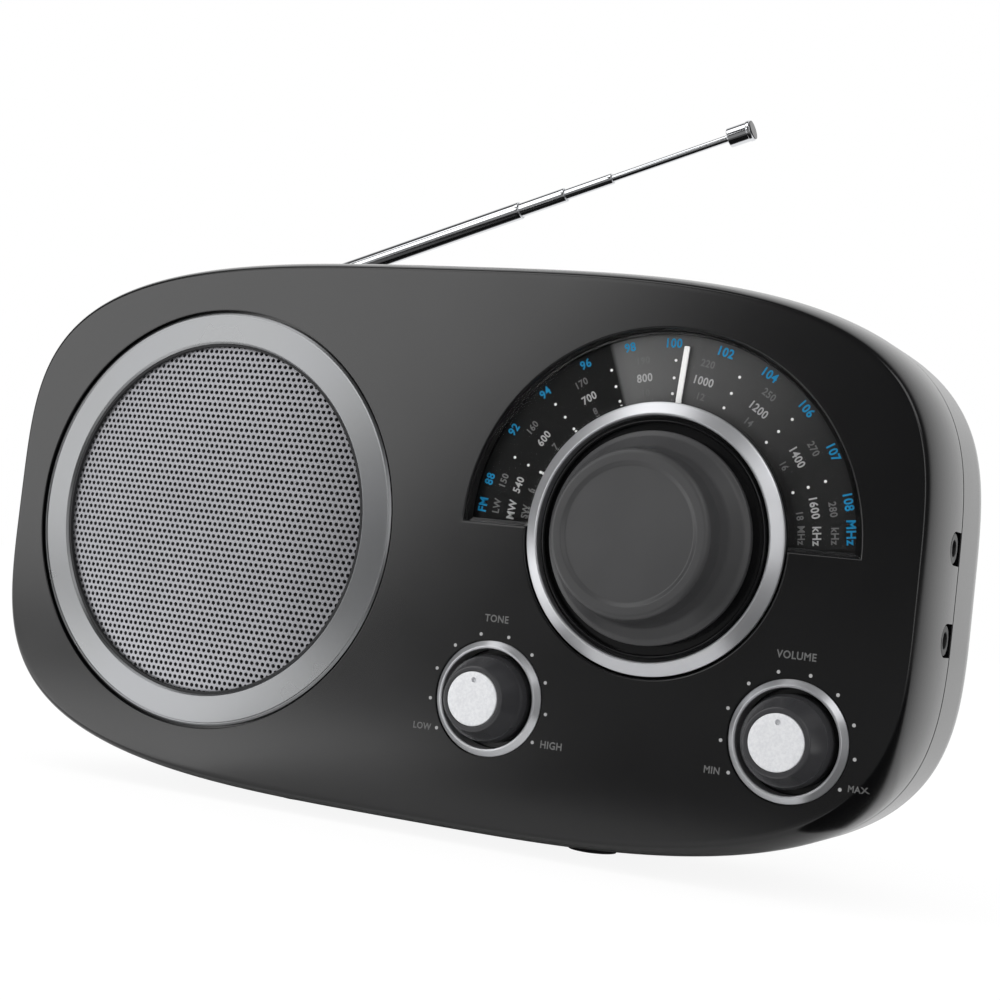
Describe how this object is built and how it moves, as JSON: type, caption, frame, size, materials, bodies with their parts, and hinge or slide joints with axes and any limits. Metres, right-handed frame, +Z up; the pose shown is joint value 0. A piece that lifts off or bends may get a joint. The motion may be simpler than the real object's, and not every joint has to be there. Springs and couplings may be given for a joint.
{
  "type": "shortwave receiver",
  "caption": "Portable radio receiver with a round grille, half-round tuning scale, three knobs and a folding telescopic aerial.",
  "frame": {"origin": "middle of the bottom of the bounding box, on the surface the feet stand on", "axes": "+X to the right of the front panel, +Y from the front to the rear, +Z up"},
  "size_m": [0.24, 0.0782, 0.1772],
  "materials": {
    "cabinet_plastic": "black moulded ABS, polished front, finely spark-eroded",
    "trim_aluminium": "pressed and satin anodised",
    "grille_metal": "perforated sheet, satin",
    "pressed_steel": "zinc plated",
    "magnet_ferrite": "sintered, matt",
    "surround_rubber": "matt",
    "cone_paper": "pressed paper",
    "screw_steel": "plated",
    "dial_plate": "screen-printed",
    "clear_acrylic": "polished",
    "tuning_knob_plastic": "satin moulded ABS",
    "silver_trim": "metallised",
    "needle_white": "satin",
    "black_plastic": "moulded",
    "knob_gloss": "polished",
    "knob_disc": "spun",
    "shaft_brass": "turned",
    "control_metal": "tinned",
    "pale_plastic": "moulded",
    "board_laminate": "solder resist",
    "can_aluminium": "drawn",
    "capacitor_sleeve": "shrink sleeve",
    "rod_ferrite": "sintered",
    "copper_wire": "enamelled",
    "contact_metal": "nickel plated",
    "core_steel": "varnished stampings",
    "winding_tape": "taped",
    "aerial_chrome": "bright plated",
    "foot_rubber": "matt"
  },
  "bodies": {
    "cabinet": {"front_cabinet": "cabinet_plastic", "rear_cabinet": "cabinet_plastic", "speaker_trim_ring": "trim_aluminium", "speaker_grille": "grille_metal", "speaker_frame": "pressed_steel", "speaker_magnet": "magnet_ferrite", "speaker_surround": "surround_rubber", "speaker_screws": "screw_steel", "scale_plate": "dial_plate", "scale_lens": "clear_acrylic", "tuning_capacitor": "pale_plastic", "tone_bezel": "silver_trim", "tone_control": "control_metal", "volume_bezel": "silver_trim", "volume_control": "control_metal", "main_board": "board_laminate", "board_coil_cans": "can_aluminium", "board_capacitors": "capacitor_sleeve", "board_chips": "black_plastic", "ferrite_rod": "rod_ferrite", "ferrite_coils": "copper_wire", "ferrite_clips": "pale_plastic", "jack_board": "board_laminate", "headphone_jack": "black_plastic", "line_jack": "black_plastic", "battery_tray": "black_plastic", "battery_contacts": "contact_metal", "battery_springs": "contact_metal", "mains_inlet": "black_plastic", "inlet_pins": "contact_metal", "transformer_core": "core_steel", "transformer_coil": "winding_tape", "band_switch": "control_metal", "aerial_bracket": "contact_metal", "aerial_pin": "contact_metal", "rubber_feet": "foot_rubber", "case_screws": "screw_steel"},
    "tuning": {"tuning_knob": "tuning_knob_plastic", "tuning_ring": "silver_trim", "needle_hub": "black_plastic", "scale_needle": "needle_white", "tuning_shaft": "shaft_brass"},
    "tone": {"tone_knob": "knob_gloss", "tone_cap": "knob_disc", "tone_shaft": "shaft_brass"},
    "volume": {"volume_knob": "knob_gloss", "volume_cap": "knob_disc", "volume_shaft": "shaft_brass"},
    "cone": {"speaker_cone": "cone_paper", "speaker_dust_cap": "cone_paper"},
    "door": {"battery_door": "cabinet_plastic"},
    "band": {"band_slider": "black_plastic"},
    "aerial_arm": {"aerial_knuckle": "aerial_chrome", "aerial_tube_1": "aerial_chrome"},
    "aerial_2": {"aerial_tube_2": "aerial_chrome"},
    "aerial_3": {"aerial_tube_3": "aerial_chrome"},
    "aerial_4": {"aerial_rod": "aerial_chrome", "aerial_tip": "aerial_chrome"}
  },
  "joints": [
    {"name": "tuning_turn", "type": "hinge", "parent": "cabinet", "child": "tuning", "pos_m": [0.058, -0.03, 0.073], "axis": [0, -1, 0], "range_deg": [-80, 80]},
    {"name": "tone_turn", "type": "hinge", "parent": "cabinet", "child": "tone", "pos_m": [0.023, -0.03, 0.0336], "axis": [0, -1, 0], "range_deg": [-124, 124]},
    {"name": "volume_turn", "type": "hinge", "parent": "cabinet", "child": "volume", "pos_m": [0.093, -0.03, 0.0336], "axis": [0, -1, 0], "range_deg": [-124, 124]},
    {"name": "cone_travel", "type": "slide", "parent": "cabinet", "child": "cone", "axis": [0, -1, 0], "range_m": [-0.001, 0.001], "stiffness_N_per_m": 300},
    {"name": "door_lift", "type": "slide", "parent": "cabinet", "child": "door", "axis": [0, 1, 0], "range_m": [0, 0.05]},
    {"name": "band_select", "type": "slide", "parent": "cabinet", "child": "band", "axis": [1, 0, 0], "range_m": [0, 0.0105]},
    {"name": "aerial_tilt", "type": "hinge", "parent": "cabinet", "child": "aerial_arm", "pos_m": [-0.0816, 0.01795, 0.1278], "axis": [0, -1, 0], "range_deg": [-18.9, 101]},
    {"name": "aerial_slide_2", "type": "slide", "parent": "aerial_arm", "child": "aerial_2", "axis": [0.9461, 0, 0.3239], "range_m": [-0.0123, 0.0502]},
    {"name": "aerial_slide_3", "type": "slide", "parent": "aerial_2", "child": "aerial_3", "axis": [0.9461, 0, 0.3239], "range_m": [-0.0125, 0.05]},
    {"name": "aerial_slide_4", "type": "slide", "parent": "aerial_3", "child": "aerial_4", "axis": [0.9461, 0, 0.3239], "range_m": [-0.0308, 0.0319]}
  ]
}
